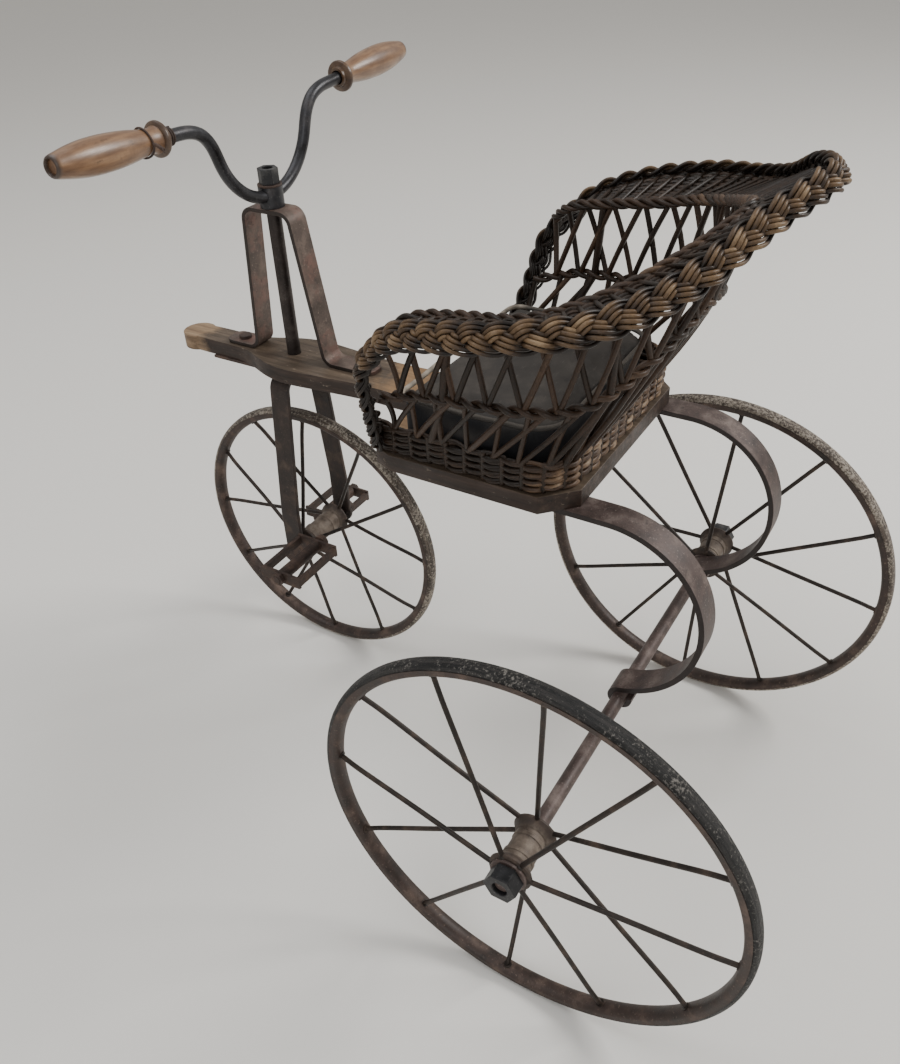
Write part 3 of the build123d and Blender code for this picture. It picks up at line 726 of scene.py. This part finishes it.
def seat_pad():
    """Flat stuffed pad in oilcloth with a worn welt round its top edge."""
    lo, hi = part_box("seat_pad")
    mesh = pad_start(lo, hi)
    pad = piece("seat_pad_cloth", mesh, "frame", "oilcloth", ["seat_pad"])
    remesh = pad.modifiers.new("grid", "REMESH")
    remesh.mode, remesh.voxel_size = "VOXEL", PAD_CELL
    shaped = pad.evaluated_get(bpy.context.evaluated_depsgraph_get())
    dense = bpy.data.meshes.new_from_object(shaped)
    pad.modifiers.remove(remesh)
    dense.name = "seat_pad_cloth"
    dense.materials.clear()
    dense.materials.append(MATS["oilcloth"])
    pad.data = dense
    puff(pad)
    co = np.array([v.co[:] for v in pad.data.vertices])
    low = co[:, 2] < lo.z + 0.006
    co[low, 2] = np.maximum(co[low, 2], lo.z)
    sink = 1 - np.exp(-np.hypot(co[:, 0] - X_BODY, co[:, 1] - 0.035)**2 / 0.003)
    co[~low, 2] -= 0.0022 * (1 - sink[~low])
    pad.data.vertices.foreach_set("co", co.astype(np.float32).ravel())
    attr = pad.data.attributes.new("tone", "FLOAT", "POINT")
    attr.data.foreach_set("value", np.zeros(len(co), np.float32))
    smooth(pad.data)
    sub = pad.modifiers.new("soft", "SUBSURF")
    sub.levels = sub.render_levels = 1
    welt(lo, hi)


def welt(lo, hi):
    """Piping sewn along the top edge, worn pale along the front."""
    ring = pad_outline(lo, hi, 0.0030, 400)
    ring = np.concatenate([ring, ring[:1]])
    z = hi.z - 0.0065 + 0.0006 * np.sin(np.arange(401) * 0.11)
    path = np.column_stack([ring, z])
    front = np.clip((lo.y + 0.020 - ring[:, 1]) / 0.010, 0, 1)
    tone = 0.12 + 0.75 * front * (0.75 + 0.25 * np.sin(np.arange(401) * 0.7))
    mesh = tubes("seat_pad_welt", [path], [WELT_R], [tone], 10)
    piece("seat_pad_welt", mesh, "frame", "oilcloth")


# ---------------------------------------------------------------- wheels
def wheel_spokes(name, node, body, radius, x, y, half, start):
    paths, radii, tones = [], [], []
    r_in, r_out = 0.0140, radius - 0.0112
    for i in range(12):
        a = math.radians(start + 30 * i)
        off = (half - 0.00175) * (1 if i % 2 else -1)
        u = np.array([0, math.cos(a), math.sin(a)])
        c = np.array([x, y, radius])
        kink = 0.86 + rng.uniform(-0.02, 0.02)
        stops = [(r_in - 0.004, 1.0), (r_in + 0.004, 0.99), (r_out * 0.5, 0.56),
                 (r_out * kink, 1 - 0.93 * kink), (r_out * 0.965, 0.06), (r_out + 0.001, 0.0)]
        pts = np.array([c + u * r + np.array([off * k, 0, 0]) for r, k in stops])
        paths.append(curve(pts, np.linspace(0, len(pts) - 1, 26)))
        radii.append(0.0021)
        tones.append(0.5)
        for r, k, big in ((r_in - 0.0005, 1.0, 0.0034), (r_out - 0.0015, 0.0, 0.0036)):
            q = c + u * r + np.array([off * k, 0, 0])
            paths.append(np.array([q, q + u * 0.0016, q + u * 0.0032]))
            radii.append(np.array([big, big, big * 0.7]))
            tones.append(0.5)
    piece(name, tubes(name, paths, radii, tones, 10), body, "spoke_steel", [node])


def wheel_hub(name, node, body, x, y, z, half, bore):
    """Dark end flanges and a pale barrel with turned steps."""
    f = FLANGE_T
    prof = [(-half, bore, 1), (-half, 0.0160, 1), (-half + 0.0009, 0.0178, 1),
            (-half + f - 0.0009, 0.0180, 1),
            (-half + f, 0.0172, 1), (-half + f + 0.0014, 0.0162, 1), (-half + f + 0.0034, 0.0145, 0.7),
            (-half + f + 0.0046, 0.0136, 0.2), (-half + f + 0.0052, 0.0124, 0.2), (-half * 0.45, 0.0123, 0),
            (-half * 0.42, 0.0130, 0), (-half * 0.30, 0.0131, 0), (-half * 0.27, 0.0122, 0.2),
            (-half * 0.05, 0.0122, 0)]
    prof += [(-px, pr, pt) for px, pr, pt in reversed(prof)]
    mesh = lathe(name, [v[:2] for v in prof], (x, y, z), tones=[v[2] for v in prof])
    piece(name, mesh, body, "hub_paint", [node])


def wheel_rim(name, node, body, radius, x, y):
    """Half-round channel rolled round the wheel, open outward for the tyre."""
    arc = [math.radians(d) for d in range(180, 361, 15)]
    floor = radius - 0.0080
    outer = [(0.0071 * math.cos(t), floor + 0.0041 * math.sin(t)) for t in arc]
    inner = [(0.0059 * math.cos(t), floor + 0.0029 * math.sin(t)) for t in reversed(arc)]
    prof = [(-0.0073, radius - 0.0044), (-0.0071, radius - 0.0058)] + outer
    prof += [(0.0071, radius - 0.0058), (0.0073, radius - 0.0044), (0.0061, radius - 0.0046)] + inner
    prof += [(-0.0061, radius - 0.0046)]
    mesh = lathe(name, prof, (x, y, radius), segments=200)
    piece(name, mesh, body, "rim_iron", [node])


def wheel_tyre(name, node, body, mat, radius, x, y):
    """Solid rubber tyre with shallow, uneven grooves round it."""
    half = [(-0.0050, 0.0075), (-0.0064, 0.0056), (-0.0069, 0.0040), (-0.0067, 0.0028), (-0.0059, 0.0015),
            (-0.0047, 0.0007), (-0.0036, 0.0003), (-0.0024, 0.0001), (-0.0012, 0.0)]
    prof = [(s, radius - d) for s, d in half] + [(0.0, radius)]
    prof += [(-s, radius - d) for s, d in reversed(half)]
    groove = [rng.uniform(0.0, 6.0) for _ in prof]
    sunk = [rng.choice((0.0, 0.00005, 0.00035)) for _ in prof]

    def relief(k, a):
        wave = 0.5 + 0.5 * np.sin(3 * a + groove[k]) * np.sin(5 * a + 2 * groove[k])
        chips = np.sin(47 * a + 9 * groove[k]) * np.sin(29 * a + groove[k])
        return -sunk[k] * wave - 0.00012 * (chips > 0.8) - 0.00004

    mesh = lathe(name, prof, (x, y, radius), segments=420, relief=relief)
    piece(name, mesh, body, mat, [node])


def wheels():
    for name, body, radius, x, y, half, bore, start, slot, skin in (
            ("front", "front_wheel", R_FRONT, X_BODY, Y_STEER, FRONT_HUB_HALF, 0.005, 1,
             "pale_tyre", "pale_front_tyre"),
            ("left", "left_wheel", R_REAR, X_AXLE + HUB_MID, Y_REAR, HUB_HALF, 0.0063, 25,
             "black_tyre", "black_tyre"),
            ("right", "right_wheel", R_REAR, X_AXLE - HUB_MID, Y_REAR, HUB_HALF, 0.0063, 56,
             "pale_tyre", "pale_tyre")):
        wheel_spokes(name + "_spoke_set", name + "_spokes", body, radius, x, y, half, start)
        wheel_hub(name + "_hub_turned", name + "_hub", body, x, y, radius, half, bore)
        wheel_rim(name + "_rim_rolled", name + "_rim", body, radius, x, y)
        wheel_tyre(name + "_tyre_rubber", name + "_tyre", body, skin, radius, x, y)


def assign(node, mat, angle=35):
    """Gives a carried-over CAD node its finished material."""
    ob = NODES[node]
    ob.data.materials.clear()
    ob.data.materials.append(MATS[mat])
    smooth(ob.data, angle)


# ---------------------------------------------------------------- metal and wood
def hardware():
    for node, body, slot, mat, width in (
            ("deck_board", "frame", "worn_board", "worn_board", 0.0035),
            ("head_bracket", "frame", "rusty_iron", "bracket_iron", 0.0009),
            ("nose_strap", "frame", "rusty_iron", "rusty_iron", 0.0005),
            ("bracket_bolts", "frame", "rusty_iron", "rusty_iron", 0.0008),
            ("spring_bolts", "frame", "rusty_iron", "rusty_iron", 0.0006),
            ("left_spring", "frame", "spring_paint", "spring_paint", 0.0010),
            ("right_spring", "frame", "spring_paint", "spring_paint", 0.0010),
            ("rear_axle", "frame", "spring_paint", "axle_paint", 0.0005),
            ("axle_washers", "frame", "spring_paint", "axle_paint", 0.0004),
            ("axle_nuts", "frame", "spring_paint", "nut_iron", 0.0009),
            ("fork", "steering", "rusty_iron", "fork_iron", 0.0010),
            ("steering_post", "steering", "dark_steel", "dark_steel", 0.0006),
            ("bar_washer", "steering", "dark_steel", "rusty_iron", 0.0004),
            ("bar_nut", "steering", "dark_steel", "nut_iron", 0.0009),
            ("left_crank", "front_wheel", "rusty_iron", "rusty_iron", 0.0010),
            ("right_crank", "front_wheel", "rusty_iron", "rusty_iron", 0.0010),
            ("front_axle", "front_wheel", "rusty_iron", "rusty_iron", 0.0005),
            ("pedal_nuts", "front_wheel", "rusty_iron", "rusty_iron", 0.0006),
            ("left_pedal", "left_pedal", "rusty_iron", "rusty_iron", 0.0008),
            ("right_pedal", "right_pedal", "rusty_iron", "rusty_iron", 0.0008)):
        softened(node, node + "_worn", body, mat, width)
    assign("handlebar", "bar_iron", 50)
    for side, word in ((1, "left"), (-1, "right")):
        handle(side, word)
    wire()


def grip_axis(side):
    """Start of a grip at its collar and the direction to its free end."""
    tilt = math.radians(GRIP_TILT)
    return (np.array([X_BODY + side * GRIP_AT, Y_STEER, GRIP_Z]),
            np.array([side * math.cos(tilt), 0, math.sin(tilt)]))


def handle(side, word):
    """Turned wooden grip with its dished collar."""
    base, axis = grip_axis(side)
    prof = [(0.0050, 0.0061), (0.0050, 0.0108)]
    form = curve([(5, 10.4), (13, 9.7), (24, 11.0), (36, 12.6), (50, 13.6), (64, 13.9), (78, 13.3),
                  (90, 11.8),
                  (99, 10.1), (104, 9.1)], np.linspace(0, 9, 40)) * MM
    prof += [tuple(v) for v in form[1:]]
    prof += [(0.1068, 0.0083), (0.1079, 0.0072), (0.1080, 0.0063), (0.1062, 0.0052), (0.1045, 0.0050),
             (0.1040, 0.0001), (0.1020, 0.0001), (0.1020, 0.0061)]
    dark = [1.0 if s > 0.1055 else 0.0 for s, _ in prof]
    piece(word + "_grip_turned", lathe(word + "_grip_turned", prof, base, axis, 96, dark), "steering",
          "grip_wood", [word + "_grip"])
    collar = [(-4, 6.4), (-4, 8.6), (-1, 9.4), (-0.5, 11.5), (0.3, 13.6), (1.5, 14.25), (3.2, 14.1),
              (4.2, 13.0), (4.6, 11.2), (4.9, 10.6), (4.9, 6.4)]
    piece(word + "_ferrule_turned", lathe(word + "_ferrule_turned", [(a * MM, b * MM) for a, b in collar],
                                          base, axis, 96),
          "steering", "ferrule_wood", [word + "_ferrule"])


def wire():
    """Thin wire wound behind the left collar and twisted on the grip."""
    base, axis = grip_axis(1)
    up = np.array([-axis[2], 0, axis[0]])
    back = np.array([0, 1.0, 0])
    turn = np.linspace(0, 2 * math.pi * 3, 90)
    s = -0.0052 - 0.0022 * turn / (2 * math.pi)
    coil = base + axis * s[:, None] + 0.0068 * (np.cos(turn)[:, None] * up + np.sin(turn)[:, None] * back)
    loop_turn = np.linspace(0, 2 * math.pi, 60)
    wob = 0.0009 * np.sin(2 * loop_turn + 0.6)
    loop = (base + axis * (0.0180 + wob)[:, None]
            + 0.0113 * (np.cos(loop_turn)[:, None] * up + np.sin(loop_turn)[:, None] * back))
    tail = np.linspace(0, 1, 40)
    knot = base + axis * 0.018 + back * 0.0122
    twist_a = tail * 2 * math.pi * 3.5
    paths = [coil, loop]
    for ph in (0, math.pi):
        paths.append(knot + back * (0.0105 * tail)[:, None] - up * (0.0035 * tail**2)[:, None]
                     + 0.0010 * (np.cos(twist_a + ph)[:, None] * up + np.sin(twist_a + ph)[:, None] * axis))
    piece("wire_wound", tubes("wire_wound", paths, [0.0009, 0.0009, 0.0007, 0.0007], [0.5] * 4), "steering",
          "rusty_iron", ["wire_ring"])


# ---------------------------------------------------------------- stage
def stage():
    me = bpy.data.meshes.new("floor")
    f = FLOOR_HALF
    me.from_pydata([(-f, -f, 0), (f, -f, 0), (f, f, 0), (-f, f, 0)], [], [(0, 1, 2, 3)])
    floor = bpy.data.objects.new("floor", me)
    bpy.context.scene.collection.objects.link(floor)
    m = Mat("floor")
    me.materials.append(m.done((0.80, 0.78, 0.74), 0.85))
    world = bpy.data.worlds.new("studio")
    world.use_nodes = True
    world.node_tree.nodes["Background"].inputs["Color"].default_value = (0.98, 0.96, 0.93, 1)
    world.node_tree.nodes["Background"].inputs["Strength"].default_value = 0.50
    bpy.context.scene.world = world
    for name, place, size, power, colour in (
            ("key", (-1.7, 1.9, 2.3), 1.2, 78, (1.0, 0.99, 0.97)),
            ("top", (0.3, -0.9, 2.8), 2.0, 34, (0.97, 0.98, 1.0)),
            ("fill", (2.4, 0.9, 1.6), 1.6, 18, (0.95, 0.97, 1.0))):
        data = bpy.data.lights.new(name, "AREA")
        data.size, data.energy, data.color = size, power, colour
        lamp = bpy.data.objects.new(name, data)
        lamp.location = place
        lamp.rotation_euler = (Vector((-0.05, 0, 0.25)) - Vector(place)).to_track_quat("-Z", "Y").to_euler()
        bpy.context.scene.collection.objects.link(lamp)


def camera():
    place, yaw, pitch, roll, focal_px = Vector((0.6478, 0.4062, 0.8114)), -2.1423, 0.6269, -0.0516, 981.0
    fwd = Vector((math.sin(yaw) * math.cos(pitch), math.cos(yaw) * math.cos(pitch), -math.sin(pitch)))
    right = Vector((math.cos(yaw), -math.sin(yaw), 0))
    up = right.cross(fwd)
    x = right * math.cos(roll) + up * math.sin(roll)
    y = up * math.cos(roll) - right * math.sin(roll)
    data = bpy.data.cameras.new("camera")
    data.sensor_fit, data.sensor_width = "AUTO", 36.0
    data.lens = focal_px / 1064 * 36.0
    data.clip_start = 0.01
    cam = bpy.data.objects.new("camera", data)
    m = Matrix((x, y, -fwd)).transposed().to_4x4()
    m.translation = place
    cam.matrix_world = m
    bpy.context.scene.collection.objects.link(cam)
    bpy.context.scene.camera = cam


camera()
stage()
hardware()
wheels()
wicker()
seat_pad()
